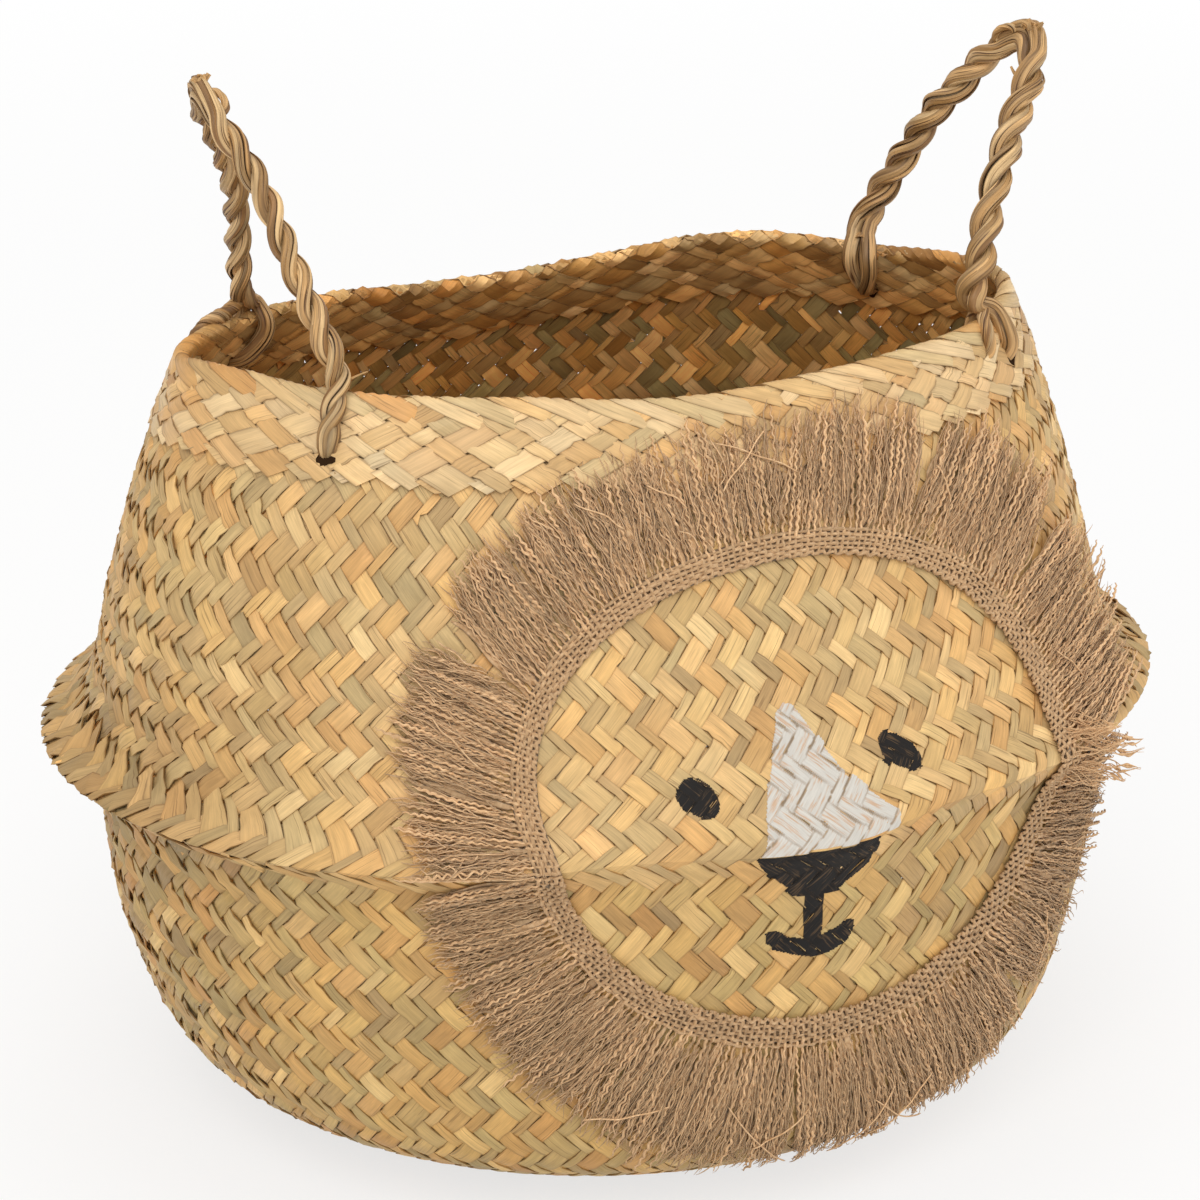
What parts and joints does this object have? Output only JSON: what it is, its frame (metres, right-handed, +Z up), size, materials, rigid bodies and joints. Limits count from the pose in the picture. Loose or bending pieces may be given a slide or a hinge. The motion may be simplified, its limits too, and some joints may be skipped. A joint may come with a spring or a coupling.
{
  "type": "storage basket",
  "caption": "Woven seagrass belly basket with a pinched waist fold, a turned rim, stiff rope loop handles and a jute fringe mane round a simple painted animal face.",
  "frame": {"origin": "centre of the underside of the base disc, on the floor", "axes": "+Z up through the mouth, +X towards the right handle along the longer width, the painted face looks along -Y"},
  "size_m": [0.35, 0.2859, 0.3225],
  "materials": {
    "seagrass_wall": "satin woven seagrass, golden straw with sage and tan strands",
    "seagrass_base": "satin woven seagrass, olive tan",
    "seagrass_hem": "satin woven seagrass, pale straw",
    "seagrass_rope": "twisted seagrass leaf, brown tan",
    "jute_tape": "coarse woven jute",
    "jute_fringe": "loose jute yarn",
    "paint_white": "thin matt white paint, worn on the strands",
    "paint_black": "thin matt black paint"
  },
  "bodies": {
    "root": {"base_disc": "seagrass_base", "lower_wall": "seagrass_wall", "upper_wall": "seagrass_wall", "mane_tape_upper": "jute_tape", "mane_tape_lower": "jute_tape", "mane_fringe_upper_1": "jute_fringe", "mane_fringe_upper_2": "jute_fringe", "mane_fringe_upper_3": "jute_fringe", "mane_fringe_upper_4": "jute_fringe", "mane_fringe_upper_5": "jute_fringe", "mane_fringe_lower_1": "jute_fringe", "mane_fringe_lower_2": "jute_fringe", "mane_fringe_lower_3": "jute_fringe", "mane_fringe_lower_4": "jute_fringe", "paint_eye_left": "paint_black", "paint_eye_right": "paint_black", "paint_muzzle": "paint_white", "paint_nose": "paint_black", "paint_mouth": "paint_black"},
    "rim": {"rim_hem": "seagrass_hem", "rope_eye_left_front": "seagrass_rope", "rope_eye_left_back": "seagrass_rope", "rope_eye_right_front": "seagrass_rope", "rope_eye_right_back": "seagrass_rope"},
    "handle_left": {"handle_left_ply_a": "seagrass_rope", "handle_left_ply_b": "seagrass_rope", "handle_left_knot": "seagrass_rope"},
    "handle_right": {"handle_right_ply_a": "seagrass_rope", "handle_right_ply_b": "seagrass_rope", "handle_right_knot": "seagrass_rope"}
  },
  "joints": [
    {"name": "rim_collapse", "type": "slide", "parent": "root", "child": "rim", "axis": [0, 0, 1], "range_m": [-0.075, 0], "deforming": ["upper_wall", "mane_tape_upper", "mane_fringe_upper_1", "mane_fringe_upper_2", "mane_fringe_upper_3", "mane_fringe_upper_4", "mane_fringe_upper_5", "paint_eye_left", "paint_eye_right", "paint_muzzle"]},
    {"name": "handle_left_hinge", "type": "hinge", "parent": "rim", "child": "handle_left", "pos_m": [-0.103, 0, 0.2473], "axis": [0, 1, 0], "range_deg": [-75, 105], "stiffness_Nm_per_rad": 0.1},
    {"name": "handle_right_hinge", "type": "hinge", "parent": "rim", "child": "handle_right", "pos_m": [0.103, 0, 0.2473], "axis": [0, 1, 0], "range_deg": [-121, 59], "stiffness_Nm_per_rad": 0.1}
  ]
}
